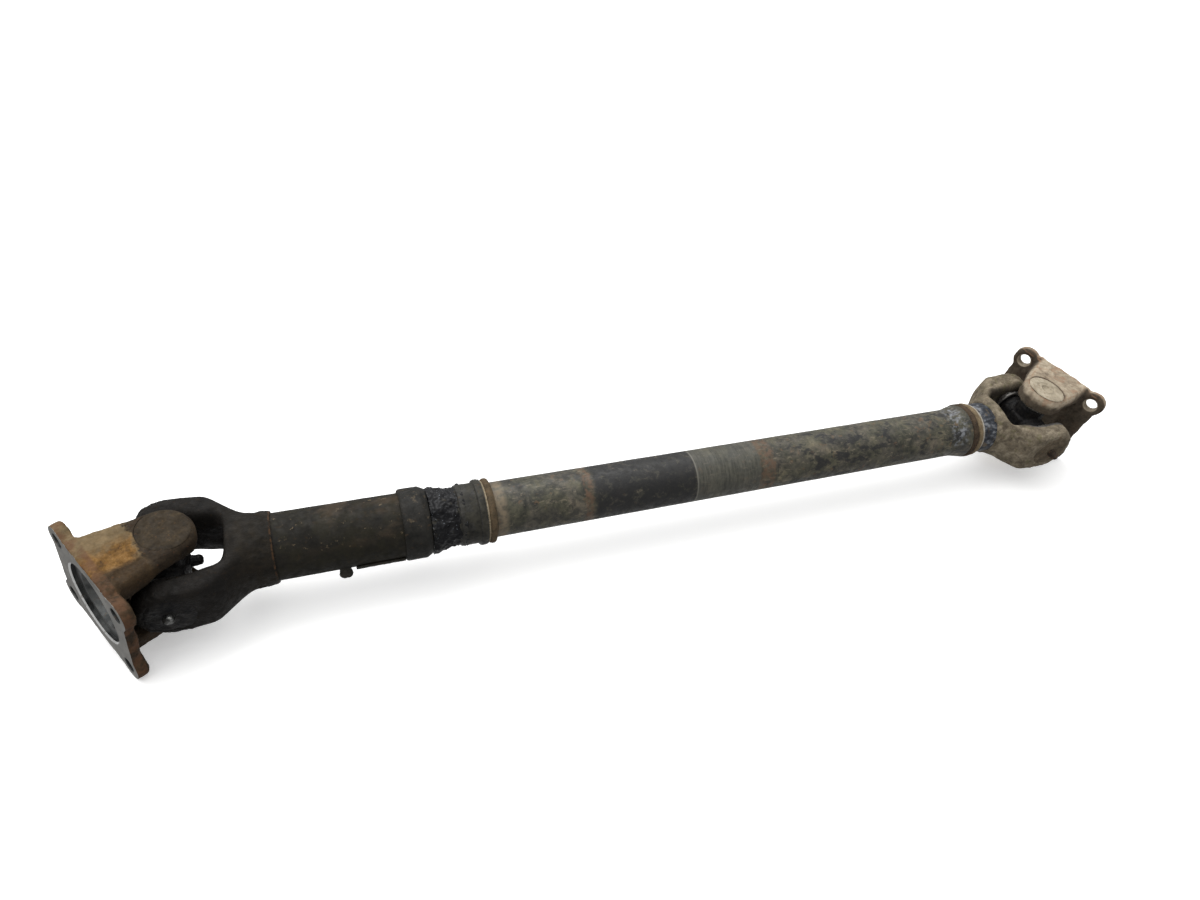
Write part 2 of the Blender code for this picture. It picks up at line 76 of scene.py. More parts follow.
ALONG = Vector(joints["slip_slide"]["axis"])
ACROSS = Vector(joints["left_cross_on_shaft_yoke"]["axis"])
LEFT = Vector(joints["left_cross_on_shaft_yoke"]["pos_m"])
RIGHT = Vector(joints["right_cross_on_shaft_yoke"]["pos_m"])
SHAFT = basis(LEFT, ALONG, ALONG.cross(ACROSS))
WELD_YOKE = basis(RIGHT, -ALONG, ALONG.cross(ACROSS))
LEFT_FLANGE = basis(LEFT, mounts["left_flange_face"]["axis"],
                    joints["left_flange_on_cross"]["axis"])
RIGHT_FLANGE = basis(RIGHT, mounts["right_flange_face"]["axis"],
                     joints["right_flange_on_cross"]["axis"])
SPAN = (RIGHT - LEFT).length / MM
# the sign of Y in LEFT_FLANGE that points away from the camera
FAR_SIDE = 1.0 if (LEFT_FLANGE.to_3x3() @ Vector((0, 1, 0))).y > 0 else -1.0


# ---------------------------------------------------------------- mesh helpers

def from_bmesh(bm):
    bmesh.ops.recalc_face_normals(bm, faces=bm.faces)
    mesh = bpy.data.meshes.new("shape")
    bm.to_mesh(mesh)
    bm.free()
    return mesh


def lathe(profile, segments=96, wobble=None):
    """Turn (x, radius) points about X; wobble(x, angle) is added to each radius."""
    bm = bmesh.new()
    rings = []
    for x, radius in profile:
        if radius == 0:
            rings.append([bm.verts.new((x, 0, 0))] * segments)
            continue
        ring = []
        for i in range(segments):
            angle = 2 * math.pi * i / segments
            r = radius + (wobble(x, angle) if wobble else 0)
            ring.append(bm.verts.new((x, r * math.cos(angle), r * math.sin(angle))))
        rings.append(ring)
    count = len(rings)
    pairs = range(count - 1) if profile[0][1] == 0 else range(count)
    for k in pairs:
        here, there = rings[k], rings[(k + 1) % count]
        for i in range(segments):
            j = (i + 1) % segments
            corners = []
            for corner in (here[i], here[j], there[j], there[i]):
                if corner not in corners:
                    corners.append(corner)
            if len(corners) > 2:
                bm.faces.new(corners)
    return from_bmesh(bm)


def fine(profile, step):
    """The same profile with points no further apart than step."""
    points = []
    for (x0, r0), (x1, r1) in zip(profile, profile[1:]):
        count = max(1, int(math.hypot(x1 - x0, r1 - r0) / step))
        points += [(x0 + (x1 - x0) * i / count, r0 + (r1 - r0) * i / count) for i in range(count)]
    return points + [profile[-1]]


def rod(axis, radius, low, high, segments=48, centre=(0, 0, 0)):
    mesh = lathe([(low, 0), (low, radius), (high, radius), (high, 0)], segments)
    turns = {"X": Matrix.Identity(4), "Y": Matrix.Rotation(math.pi / 2, 4, "Z"),
             "Z": Matrix.Rotation(-math.pi / 2, 4, "Y")}
    mesh.transform(Matrix.Translation(centre) @ turns[axis])
    return mesh


def block(low, high):
    bm = bmesh.new()
    size = [h - l for l, h in zip(low, high)]
    middle = [(l + h) / 2 for l, h in zip(low, high)]
    bmesh.ops.create_cube(bm, size=1, matrix=Matrix.Translation(middle) @ Matrix.Diagonal((*size, 1)))
    return from_bmesh(bm)


def extrude(outline, x0, x1):
    """Solid between two stations of a closed outline in Y and Z."""
    bm = bmesh.new()
    loops = [[bm.verts.new((x, y, z)) for y, z in outline] for x in (x0, x1)]
    for i in range(len(outline)):
        j = (i + 1) % len(outline)
        bm.faces.new((loops[0][i], loops[0][j], loops[1][j], loops[1][i]))
    for loop in loops:
        bm.faces.new(loop)
    return from_bmesh(bm)


def evaluated(mesh, kind, **settings):
    """The mesh after one modifier."""
    target = bpy.data.objects.new("target", mesh)
    bpy.context.scene.collection.objects.link(target)
    modifier = target.modifiers.new("step", kind)
    for key, value in settings.items():
        setattr(modifier, key, value)
    bpy.context.view_layer.update()
    depsgraph = bpy.context.evaluated_depsgraph_get()
    result = bpy.data.meshes.new_from_object(target.evaluated_get(depsgraph))
    bpy.data.objects.remove(target, do_unlink=True)
    return result


def cut(mesh, cutters):
    for cutter in cutters:
        tool = bpy.data.objects.new("tool", cutter)
        bpy.context.scene.collection.objects.link(tool)
        mesh = evaluated(mesh, "BOOLEAN", operation="DIFFERENCE", solver="MANIFOLD", object=tool)
        bpy.data.objects.remove(tool, do_unlink=True)
    return mesh


def joined(meshes):
    bm = bmesh.new()
    for mesh in meshes:
        bm.from_mesh(mesh)
    return from_bmesh(bm)


def cad_shape(node, local):
    """A CAD node's solid in millimetres in a local frame."""
    mesh = nodes[node].data.copy()
    mesh.transform(Matrix.Scale(1 / MM, 4) @ local.inverted())
    bm = bmesh.new()
    bm.from_mesh(mesh)
    bmesh.ops.remove_doubles(bm, verts=bm.verts, dist=0.001)
    return from_bmesh(bm)


def points_of(mesh):
    points = np.empty(len(mesh.vertices) * 3)
    mesh.vertices.foreach_get("co", points)
    return points.reshape(-1, 3)


def set_points(mesh, points):
    mesh.vertices.foreach_set("co", points.reshape(-1))
    mesh.update()


def smooth(mesh, passes, keep=None):
    """Round a dense mesh; keep(points) gives 0 where a point may not move."""
    points = points_of(mesh)
    edges = np.empty(len(mesh.edges) * 2, dtype=np.int64)
    mesh.edges.foreach_get("vertices", edges)
    edges = edges.reshape(-1, 2)
    count = np.bincount(edges.reshape(-1), minlength=len(points))[:, None]
    free = keep(points)[:, None] if keep else 1.0
    for _ in range(passes):
        total = np.zeros_like(points)
        np.add.at(total, edges[:, 0], points[edges[:, 1]])
        np.add.at(total, edges[:, 1], points[edges[:, 0]])
        points += 0.5 * free * (total / np.maximum(count, 1) - points)
    set_points(mesh, points)


def roughen(mesh, layers, seed, amount=None):
    """Push points along their normals by noise layers of (wavelength, height)."""
    points = points_of(mesh)
    normals = np.empty(len(mesh.vertices) * 3)
    mesh.vertices.foreach_get("normal", normals)
    normals = normals.reshape(-1, 3)
    offset = Vector((seed * 31.7, seed * 17.3, seed * 7.9))
    push = np.zeros(len(points))
    for wavelength, height in layers:
        push += [height * noise.noise(Vector(p) / wavelength + offset) for p in points]
    if amount:
        push *= amount(points)
    set_points(mesh, points + normals * push[:, None])


def forged(parts, voxel, passes, layers, seed, keep=None, amount=None):
    """Melt parts together, round them like a forging and give them its uneven skin."""
    mesh = evaluated(joined(parts), "REMESH", mode="VOXEL", voxel_size=voxel, use_smooth_shade=True)
    smooth(mesh, passes, keep)
    roughen(mesh, layers, seed, amount)
    return mesh


def add(name, mesh, local, body, materials, slot, stands_for=(), sharp=40):
    """Place a shape, in millimetres of a local frame, as a piece that rides on a body.

    A piece given no body here is left unattached."""
    mesh.transform(local @ Matrix.Scale(MM, 4))
    mesh.name = name
    mesh.shade_smooth()
    mesh.set_sharp_from_angle(angle=math.radians(sharp))
    indices = [polygon.material_index for polygon in mesh.polygons]
    mesh.materials.clear()
    for material in materials:
        mesh.materials.append(material)
    mesh.polygons.foreach_set("material_index", [min(i, len(materials) - 1) for i in indices])
    item = bpy.data.objects.new(name, mesh)
    bpy.context.scene.collection.objects.link(item)
    if body:
        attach(item, body)
    if stands_for:
        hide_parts(*stands_for)
    return item


def paint_faces(mesh, rule):
    """Set each face's material index from its centre and normal, both in the local frame."""
    for polygon in mesh.polygons:
        polygon.material_index = rule(polygon.center, polygon.normal)


# ---------------------------------------------------------------- material helpers

class Shade:
    """Node tree of one material, with coordinates in a local frame in millimetres."""

    def __init__(self, name, local, roughness=0.7, metallic=0.0, specular=0.15):
        self.material = bpy.data.materials.new(name)
        self.material.use_nodes = True
        self.tree = self.material.node_tree
        self.shader = self.tree.nodes["Principled BSDF"]
        self.shader.inputs["Roughness"].default_value = roughness
        self.shader.inputs["Metallic"].default_value = metallic
        self.shader.inputs["Specular IOR Level"].default_value = specular
        inverse = local.inverted()
        mapping = self.tree.nodes.new("ShaderNodeMapping")
        mapping.inputs["Location"].default_value = inverse.translation / MM
        mapping.inputs["Rotation"].default_value = inverse.to_euler()
        mapping.inputs["Scale"].default_value = (1 / MM,) * 3
        coords = self.tree.nodes.new("ShaderNodeTexCoord")
        self.join(coords.outputs["Object"], mapping.inputs["Vector"])
        self.point = mapping.outputs["Vector"]
        split = self.tree.nodes.new("ShaderNodeSeparateXYZ")
        self.join(self.point, split.inputs[0])
        self.x, self.y, self.z = split.outputs

    def join(self, source, target):
        """Link a socket to a socket, or set the socket to a colour or a number."""
        if hasattr(source, "node"):
            self.tree.links.new(source, target)
        elif isinstance(source, tuple):
            target.default_value = (*source, 1)
        else:
            target.default_value = source

    def noise(self, wavelength, detail=5, rough=0.6, stretch=(1, 1, 1), warp=0.0):
        """Noise of a wavelength in millimetres, longer along an axis whose stretch is below 1."""
        scale = self.tree.nodes.new("ShaderNodeMapping")
        scale.inputs["Scale"].default_value = [s / wavelength for s in stretch]
        self.join(self.point, scale.inputs["Vector"])
        node = self.tree.nodes.new("ShaderNodeTexNoise")
        node.inputs["Scale"].default_value = 1
        node.inputs["Detail"].default_value = detail
        node.inputs["Roughness"].default_value = rough
        node.inputs["Distortion"].default_value = warp
        self.join(scale.outputs[0], node.inputs["Vector"])
        return node.outputs["Fac"]

    def ramp(self, value, stops):
        """Colour from a 0 to 1 value and (position, colour) stops."""
        node = self.tree.nodes.new("ShaderNodeValToRGB")
        elements = node.color_ramp.elements
        elements[0].position = stops[0][0]
        elements[0].color = (*stops[0][1], 1)
        elements[1].position = stops[-1][0]
        elements[1].color = (*stops[-1][1], 1)
        for position, colour in stops[1:-1]:
            elements.new(position).color = (*colour, 1)
        self.join(value, node.inputs[0])
        return node.outputs[0]

    def span(self, value, low, high, out_low=0.0, out_high=1.0):
        """out_low at low, rising smoothly to out_high at high; low may be the larger."""
        node = self.tree.nodes.new("ShaderNodeMapRange")
        node.interpolation_type = "SMOOTHSTEP"
        limits = {"From Min": low, "From Max": high, "To Min": out_low, "To Max": out_high}
        for key, number in limits.items():
            node.inputs[key].default_value = number
        self.join(value, node.inputs["Value"])
        return node.outputs[0]

    def maths(self, operation, a, b=0.0):
        node = self.tree.nodes.new("ShaderNodeMath")
        node.operation = operation
        self.join(a, node.inputs[0])
        self.join(b, node.inputs[1])
        return node.outputs[0]

    def times(self, *values):
        result = values[0]
        for value in values[1:]:
            result = self.maths("MULTIPLY", result, value)
        return result

    def radius(self, a, b):
        return self.maths("SQRT", self.maths("ADD", self.times(a, a), self.times(b, b)))

    def window(self, value, low, high, soft=1.0):
        """1 from low to high, fading to 0 within soft of either end."""
        rise = self.span(value, low - soft, low + soft)
        return self.times(rise, self.span(value, high + soft, high - soft))

    def mix(self, factor, a, b, blend="MIX"):
        node = self.tree.nodes.new("ShaderNodeMix")
        node.data_type = "RGBA"
        node.blend_type = blend
        self.join(factor, node.inputs[0])
        self.join(a, node.inputs[6])
        self.join(b, node.inputs[7])
        return node.outputs[2]

    def colour(self, value):
        self.join(value, self.shader.inputs["Base Color"])

    def rough(self, value):
        self.join(value, self.shader.inputs["Roughness"])

    def bump(self, height, distance, strength=1.0):
        node = self.tree.nodes.new("ShaderNodeBump")
        node.inputs["Strength"].default_value = strength
        node.inputs["Distance"].default_value = distance * MM
        self.join(height, node.inputs["Height"])
        self.join(node.outputs[0], self.shader.inputs["Normal"])


def crust(shade, stops, wavelength=9.0, speck=(0.16, 0.09, 0.045), specks=0.6, warp=0.6):
    """Blotchy dirt and rust: two scales of noise and scattered specks."""
    broad = shade.noise(wavelength, 6, 0.62, warp=warp)
    small = shade.noise(wavelength * 0.22, 4, 0.6)
    both = shade.maths("ADD", shade.times(broad, 0.68), shade.times(small, 0.32))
    colour = shade.ramp(both, stops)
    dots = shade.span(shade.noise(wavelength * 0.35, 3, 0.5), 0.62, 0.72, 0, specks)
    return shade.mix(dots, colour, speck)


def finish_crust(shade, colour, rough_low, rough_high, grain=1.2, depth=0.25):
    """Colour, uneven roughness and a two-scale bump; returns the finished material."""
    shade.colour(colour)
    shade.rough(shade.span(shade.noise(grain * 3, 3), 0.3, 0.7, rough_low, rough_high))
    swell = shade.times(shade.noise(grain * 4, 3), 1.2)
    shade.bump(shade.maths("ADD", shade.noise(grain, 5, 0.65), swell), depth)
    return shade.material


# ---------------------------------------------------------------- materials

def left_flange_skin():
    """Dry golden rust with a pale tan patch, brown and oily round the ear; the same brown also on the near side of
    the arms and low down.
    """
    s = Shade("left_flange_skin", LEFT_FLANGE)
    rust = crust(s, [(0.34, (0.07, 0.04, 0.02)), (0.46, (0.20, 0.115, 0.04)),
                     (0.58, (0.34, 0.20, 0.075)), (0.70, (0.44, 0.31, 0.16))], 8,
                 (0.26, 0.115, 0.03), 0.7)
    tan = s.ramp(s.noise(5, 5, 0.6), [(0.3, (0.16, 0.13, 0.085)), (0.7, (0.34, 0.28, 0.19))])
    far = s.maths("ADD", s.times(s.y, FAR_SIDE), s.times(s.noise(14, 3), 20))
    dry = s.mix(s.span(far, 14, 20, 0, 0.85), rust, tan)
    border = s.window(s.maths("ADD", s.x, s.times(s.noise(9, 3), 22)), 24, 31, 2)
    dry = s.mix(s.times(border, 0.6), dry, tan)
    dry = s.mix(1.0, dry, (0.66, 0.60, 0.50), "MULTIPLY")
    brown = crust(s, [(0.3, (0.012, 0.009, 0.007)), (0.55, (0.040, 0.028, 0.017)),
                      (0.75, (0.075, 0.050, 0.025))], 7, (0.10, 0.045, 0.02), 0.45)
    reach = s.maths("ADD", s.x, s.times(s.noise(9, 4, 0.65), 24))
    colour = s.mix(s.span(reach, 27, 31), brown, dry)
    # the same brown also covers the near side of the arms and the part below the top of the upper ear
    near = s.maths("SUBTRACT", s.times(s.noise(6, 3), 10), s.times(s.y, FAR_SIDE))
    edge = s.span(near, 13, 19)
    low = s.span(s.maths("ADD", s.z, s.times(s.noise(5, 3), 6)), 36, 31)
    colour = s.mix(s.maths("MAXIMUM", s.times(low, 0.97), s.times(edge, 0.9)), colour, brown)
    rusty_edge = s.times(s.span(s.x, 42, 44), s.span(s.noise(8, 4), 0.35, 0.6))
    colour = s.mix(s.times(rusty_edge, 0.8), colour, (0.12, 0.062, 0.034))
    return finish_crust(s, colour, 0.6, 0.95, 1.0, 0.3)


def dusty_skin(name, local, dark, middle, light):
    """Old forging under dried dust."""
    s = Shade(name, local)
    colour = crust(s, [(0.32, dark), (0.5, middle), (0.68, light)], 9, (0.16, 0.085, 0.045), 0.45)
    return s, colour


def right_flange_skin():
    """Pale dust over rust, dark low down and on the lugs (partly dirt, partly painted shade), with a dark ring
    round the ear cover deepened by painted shade on one side.
    """
    s, colour = dusty_skin("right_flange_skin", RIGHT_FLANGE, (0.16, 0.125, 0.09), (0.34, 0.28, 0.205),
                           (0.52, 0.45, 0.34))
    reddish = s.span(s.noise(13, 3), 0.52, 0.62, 0, 0.5)
    colour = s.mix(reddish, colour, (0.32, 0.19, 0.12))
    # darker low down and on the backs of the lugs: partly dirt, partly painted shade
    low = s.span(s.maths("ADD", s.z, s.times(s.noise(5, 3), 5)), 37, 32, 0, 0.85)
    width = s.maths("ABSOLUTE", s.y)
    lugs = s.times(s.span(width, 21, 25), s.span(s.x, 47, 43))
    dark = s.maths("MAXIMUM", low, s.times(lugs, 0.9))
    grime_and_painted_shade = s.ramp(s.noise(5, 4), [(0.35, (0.020, 0.015, 0.011)), (0.7, (0.070, 0.053, 0.037))])
    colour = s.mix(dark, colour, grime_and_painted_shade)
    away_y = s.maths("SUBTRACT", width, BOLT_Y)
    away_z = s.maths("SUBTRACT", s.maths("ABSOLUTE", s.z), BOLT_Z)
    hole_ring = s.window(s.radius(away_y, away_z), 5.2, 6.8, 0.5)
    colour = s.mix(s.times(hole_ring, 0.5), colour, (0.18, 0.15, 0.11))
    # a dark ring in the groove round the ear cover, deepened by painted shade along one side (shade_arc)
    ear_ring = s.window(s.radius(s.x, s.y), 15.9, 18.0, 0.9)
    shade_arc = s.span(s.maths("ADD", s.x, s.times(s.noise(7, 3), 14)), -2, 16, 0.15, 0.75)
    colour = s.mix(s.times(ear_ring, shade_arc), colour, (0.08, 0.063, 0.045))
    edge_wear = s.times(s.window(s.z, 37.2, 38.2, 0.4), s.span(s.noise(6, 3), 0.4, 0.6), 0.5)
    colour = s.mix(edge_wear, colour, (0.30, 0.17, 0.10))
    return finish_crust(s, colour, 0.75, 0.95, 1.0, 0.25)


def weld_yoke_skin():
    """Olive-brown dust, blue-black on the inner bevel of the near arm, and painted shade, near black, inside the
    fork.
    """
    s, colour = dusty_skin("weld_yoke_skin", WELD_YOKE, (0.075, 0.062, 0.045), (0.175, 0.145, 0.102),
                           (0.34, 0.29, 0.215))
    past = s.maths("MAXIMUM", s.maths("SUBTRACT", s.x, 8), 0)
    inset = s.maths("SUBTRACT", s.radius(past, s.y), EAR_IN)
    rim = s.span(s.maths("ABSOLUTE", s.z), 16.5, 18)
    bevel = s.times(s.window(inset, 0.3, 5.6, 0.7), rim, s.span(s.y, 2, 8))
    blue = s.ramp(s.noise(5, 4), [(0.35, (0.035, 0.036, 0.042)), (0.7, (0.11, 0.11, 0.115))])
    colour = s.mix(s.times(bevel, 0.8), colour, blue)
    # painted shade: near black between the ears towards the crotch
    inside = s.maths("ABSOLUTE", s.y)
    painted_fork_shade = s.times(s.span(inside, 27, 22), s.span(s.x, 36, 30))
    colour = s.mix(s.times(painted_fork_shade, 0.85), colour, (0.012, 0.011, 0.010))
    moss = s.span(s.noise(6, 4), 0.56, 0.64, 0, 0.45)
    colour = s.mix(moss, colour, (0.11, 0.105, 0.045))
    stain = s.span(s.noise(8, 5, 0.65), 0.55, 0.63, 0, 0.55)
    colour = s.mix(stain, colour, (0.045, 0.035, 0.025))
    return finish_crust(s, colour, 0.65, 0.9, 1.1, 0.45)


def greasy_skin(name, local, dark, light, rough=(0.45, 0.75), dust=0.0):
    """Oil-soaked dirt on iron, with a little dust on what faces up."""
    s = Shade(name, local)
    colour = crust(s, [(0.35, dark), (0.7, light)], 11, (0.075, 0.045, 0.022), 0.35)
    if dust:
        spots = s.span(s.noise(6, 5, 0.7), 0.58, 0.66)
        top = s.span(s.z, 12, 22)
        colour = s.mix(s.times(spots, top, dust), colour, (0.20, 0.15, 0.09))
    return finish_crust(s, colour, *rough, 1.3, 0.3)


def slip_fork_skin():
    """Black oily dirt with a flowing grain, olive on the neck and rust at its rim."""
    s = Shade("slip_fork_skin", SHAFT)
    colour = crust(s, [(0.35, (0.012, 0.011, 0.010)), (0.55, (0.026, 0.023, 0.020)),
                       (0.72, (0.055, 0.047, 0.038))], 10, (0.07, 0.045, 0.022), 0.4)
    neck = s.span(s.x, 34, 50, 0, 0.6)
    olive = s.ramp(s.noise(7, 5), [(0.35, (0.020, 0.018, 0.012)), (0.7, (0.060, 0.048, 0.030))])
    colour = s.mix(neck, colour, olive)
    rim = s.times(s.window(s.x, 66.9, 68.1, 0.4), s.span(s.noise(3, 3), 0.4, 0.6))
    colour = s.mix(s.times(rim, 0.75), colour, (0.20, 0.11, 0.055))
    s.colour(s.mix(1.0, colour, (0.40, 0.38, 0.36), "MULTIPLY"))
    s.rough(s.span(s.noise(5, 4), 0.3, 0.7, 0.42, 0.75))
    flow = s.noise(2.2, 5, 0.65, (0.35, 1, 1), 1.0)
    s.bump(s.maths("ADD", flow, s.noise(0.9, 3)), 0.45)
    return s.material


def sleeve_skin():
    """Black oily dirt, hazy and freckled with dust on top."""
    s = Shade("sleeve_skin", SHAFT)
    colour = crust(s, [(0.35, (0.014, 0.013, 0.011)), (0.55, (0.030, 0.027, 0.021)),
                       (0.72, (0.060, 0.050, 0.036))], 13, (0.075, 0.045, 0.02), 0.35)
    top = s.span(s.z, 8, 20)
    haze = s.span(s.noise(16, 4, 0.6, (0.5, 1, 1)), 0.48, 0.68, 0, 0.6)
    colour = s.mix(s.times(top, haze), colour, (0.12, 0.085, 0.055))
    olive = s.span(s.noise(12, 4), 0.45, 0.6, 0, 0.5)
    colour = s.mix(olive, colour, (0.036, 0.032, 0.018))
    colour = s.mix(1.0, colour, (0.52, 0.52, 0.50), "MULTIPLY")
    spots = s.span(s.noise(4.0, 5, 0.75, (0.8, 1, 1)), 0.61, 0.67)
    colour = s.mix(s.times(spots, s.span(s.z, 8, 18), 0.55), colour, (0.20, 0.15, 0.09))
    return finish_crust(s, colour, 0.45, 0.75, 1.6, 0.2)


def tube_paint():
    """Worn black paint over rust and dust, in the bands of the real tube, with painted shade darkening its
    underside.
    """
    s = Shade("tube_paint_worn", SHAFT, 0.5, 0.0, 0.4)
    base = crust(s, [(0.37, (0.014, 0.014, 0.012)), (0.46, (0.042, 0.039, 0.030)),
                     (0.55, (0.080, 0.072, 0.054)), (0.70, (0.17, 0.14, 0.10))], 17,
                 (0.15, 0.085, 0.045), 0.5, 0.8)
    tint = s.span(s.noise(22, 3), 0.42, 0.58)
    base = s.mix(s.times(tint, 0.4), base, s.mix(1.0, base, (0.95, 1.05, 0.70), "MULTIPLY"))
    scratch = s.noise(2.2, 4, 0.7, (0.35, 1, 1), 0.5)
    base = s.mix(s.span(scratch, 0.57, 0.67, 0, 0.5), base, (0.24, 0.20, 0.14))
    turn = s.noise(1.6, 4, 0.7, (1, 0.12, 0.12))
    base = s.mix(s.span(turn, 0.40, 0.30, 0, 0.7), base, (0.014, 0.014, 0.013))
    wander = s.times(s.maths("SUBTRACT", s.noise(6, 3), 0.5), 7)
    x = s.maths("ADD", s.x, wander)
    black = s.window(x, 300, 386, 3)
    holes = s.span(s.noise(7, 6, 0.7), 0.52, 0.64, 1.0, 0.45)
    colour = s.mix(s.times(black, holes, 0.93), base, (0.010, 0.010, 0.011))
    blotches = s.span(s.noise(11, 5, 0.65, (0.6, 1, 1)), 0.53, 0.60, 0, 0.85)
    patches = s.times(s.span(x, 440, 470), blotches)
    colour = s.mix(patches, colour, (0.012, 0.012, 0.013))
    early = s.times(s.window(x, 215, 300, 4), s.span(s.noise(9, 5, 0.65), 0.54, 0.62, 0, 0.6))
    colour = s.mix(early, colour, (0.022, 0.021, 0.018))
    grey = s.window(s.x, 386, 443, 0.8)
    fine_turn = s.ramp(turn, [(0.35, (0.040, 0.040, 0.033)), (0.64, (0.100, 0.098, 0.080))])
    colour = s.mix(s.times(grey, 0.65), colour, fine_turn)
    rust = s.maths("MAXIMUM", s.window(x, 292, 299, 1.5), s.window(x, 443, 456, 1.5))
    rust = s.times(rust, s.span(s.noise(4, 4), 0.38, 0.62, 0.1, 0.75))
    colour = s.mix(rust, colour, (0.125, 0.072, 0.042))
    start = s.times(s.window(s.x, 200, 231, 2.5), s.span(s.noise(5, 4), 0.35, 0.6, 0.2, 0.8))
    colour = s.mix(start, colour, (0.20, 0.155, 0.10))
    line = s.window(s.x, 385.4, 386.6, 0.4)
    colour = s.mix(s.times(line, 0.6), colour, (0.20, 0.19, 0.16))
    silver = s.times(s.window(x, 634, 648, 3), s.span(s.z, 0, 10), s.span(s.noise(4, 4), 0.45, 0.65))
    colour = s.mix(s.times(silver, 0.75), colour, (0.25, 0.26, 0.28))
    # painted shade: the colour grows darker towards the underside of the tube
    under = s.span(s.z, -8, -20, 0, 0.3)
    colour = s.mix(under, colour, (0.035, 0.033, 0.028))
    s.colour(colour)
    s.rough(s.span(s.noise(5, 4), 0.35, 0.65, 0.30, 0.62))
    rings = s.noise(1.0, 3, 0.6, (1, 0.05, 0.05))
    height = s.maths("ADD", s.noise(1.6, 5, 0.65), s.times(rings, 0.5))
    s.bump(height, 0.22)
    return s.material


def ridge_rust(name, local, dark, light):
    """Speckled rust of a narrow ring, a rim or a small fitting."""
    s = Shade(name, local)
    colour = crust(s, [(0.35, dark), (0.68, light)], 5, (0.20, 0.10, 0.045), 0.5)
    return finish_crust(s, colour, 0.6, 0.9, 0.9, 0.3)


def neck_paint():
    """Turned neck with blue-black paint and pale silver blotches, partly silver paint and partly painted
    highlight.
    """
    s = Shade("neck_paint", WELD_YOKE, 0.35)
    # the pale silver stop is partly silver paint and partly painted highlight
    stops = [(0.40, (0.018, 0.020, 0.025)), (0.52, (0.045, 0.050, 0.060)), (0.64, (0.19, 0.20, 0.215))]
    colour = s.ramp(s.noise(5, 4, 0.6, (0.7, 1, 1)), stops)
    colour = s.mix(s.span(s.noise(7, 5), 0.55, 0.66, 0, 0.8), colour, (0.12, 0.09, 0.055))
    s.colour(colour)
    s.rough(s.span(s.noise(4, 3), 0.35, 0.65, 0.3, 0.55))
    s.bump(s.noise(1.2, 4), 0.15)
    return s.material


def black_grease():
    """Wet black grease with dust on it, and small pale specks on top that are painted glints."""
    s = Shade("black_grease", SHAFT, 0.18, 0.0, 0.14)
    colour = s.ramp(s.noise(4, 4), [(0.4, (0.004, 0.004, 0.005)), (0.7, (0.014, 0.014, 0.015))])
    colour = s.mix(s.span(s.noise(9, 4), 0.6, 0.68, 0, 0.6), colour, (0.04, 0.036, 0.025))
    # painted glints: pale specks on the top of the grease stand in for highlights
    painted_glints = s.times(s.span(s.noise(1.5, 3, 0.6), 0.63, 0.70), s.span(s.z, 2, 12),
                     s.span(s.noise(6, 2), 0.45, 0.6))
    colour = s.mix(s.times(painted_glints, 0.8), colour, (0.22, 0.24, 0.27))
    s.colour(colour)
    s.shader.inputs["Coat Weight"].default_value = 0.05
    s.shader.inputs["Coat Roughness"].default_value = 0.08
    s.rough(s.span(s.noise(3, 3), 0.35, 0.65, 0.10, 0.26))
    s.bump(s.noise(2.8, 3, 0.55, warp=0.8), 0.35)
    return s.material


def dull_grease(name, local):
    s = Shade(name, local)
    colour = s.ramp(s.noise(4, 5), [(0.35, (0.005, 0.005, 0.006)), (0.7, (0.020, 0.018, 0.016))])
    return finish_crust(s, colour, 0.3, 0.6, 1.2, 0.4)


def machined(name, local, dark, light, low=0.28, high=0.5):
    """Turned steel: fine rings about the joint's outward axis under a dull film."""
    s = Shade(name, local, 0.35, 0.85)
    rings = s.maths("SINE", s.times(s.radius(s.y, s.z), 9.0))
    film = s.noise(9, 5, 0.6)
    colour = s.ramp(film, [(0.35, dark), (0.65, light)])
    stain = s.span(s.noise(4, 4), 0.58, 0.66, 0, 0.5)
    s.colour(s.mix(stain, colour, (0.10, 0.07, 0.045)))
    s.rough(s.span(film, 0.3, 0.7, low, high))
    s.bump(s.maths("ADD", s.times(rings, 0.12), s.noise(1.5, 3)), 0.05)
    return s.material


def steel(name, dark, light, roughness):
    s = Shade(name, SHAFT, roughness, 0.9)
    s.colour(s.ramp(s.noise(2.5, 4), [(0.35, dark), (0.65, light)]))
    s.rough(s.span(s.noise(1.5, 3), 0.3, 0.7, roughness - 0.08, roughness + 0.12))
    s.bump(s.noise(0.6, 3), 0.04)
    return s.material


def plain_soft(name, colour_low, colour_high):
    s = Shade(name, SHAFT, 0.85)
    s.colour(s.ramp(s.noise(1.2, 4), [(0.3, colour_low), (0.7, colour_high)]))
    s.bump(s.noise(0.5, 4), 0.1)
    return s.material


# ---------------------------------------------------------------- shapes

EAR_IN = 23.5                       # joint centre to the inner face of an ear
CUP_BORE = 14.8                     # radius of the bores in the ears
CUP_FACE = 36.75                    # joint centre to the foot of the dirt that fills an ear
SLEEVE_R = 24.0
TUBE_R = 21.0
FACE_X = 50                         # joint centre to the flange face
BOLT_Y, BOLT_Z = 35.5, 29           # centre of a flange bolt hole
BOLTS = [(sy * BOLT_Y, sz * BOLT_Z) for sy in (1, -1) for sz in (1, -1)]
ROUND = 144                         # segments round the larger turned pieces
VOXEL = 0.95                        # remesh size of the forgings
FORGING = [(14, 0.9), (5, 0.45), (1.9, 0.25)]


def arc(cx, cy, radius, start, end, steps):
    angles = [math.radians(start + (end - start) * i / steps) for i in range(steps + 1)]
    return [(cx + radius * math.cos(a), cy + radius * math.sin(a)) for a in angles]


def both_ears(axis, radius, low, high, segments=48):
    """The same rod in each of a fork's two ears."""
    return [rod(axis, radius, low, high, segments), rod(axis, radius, -high, -low, segments)]


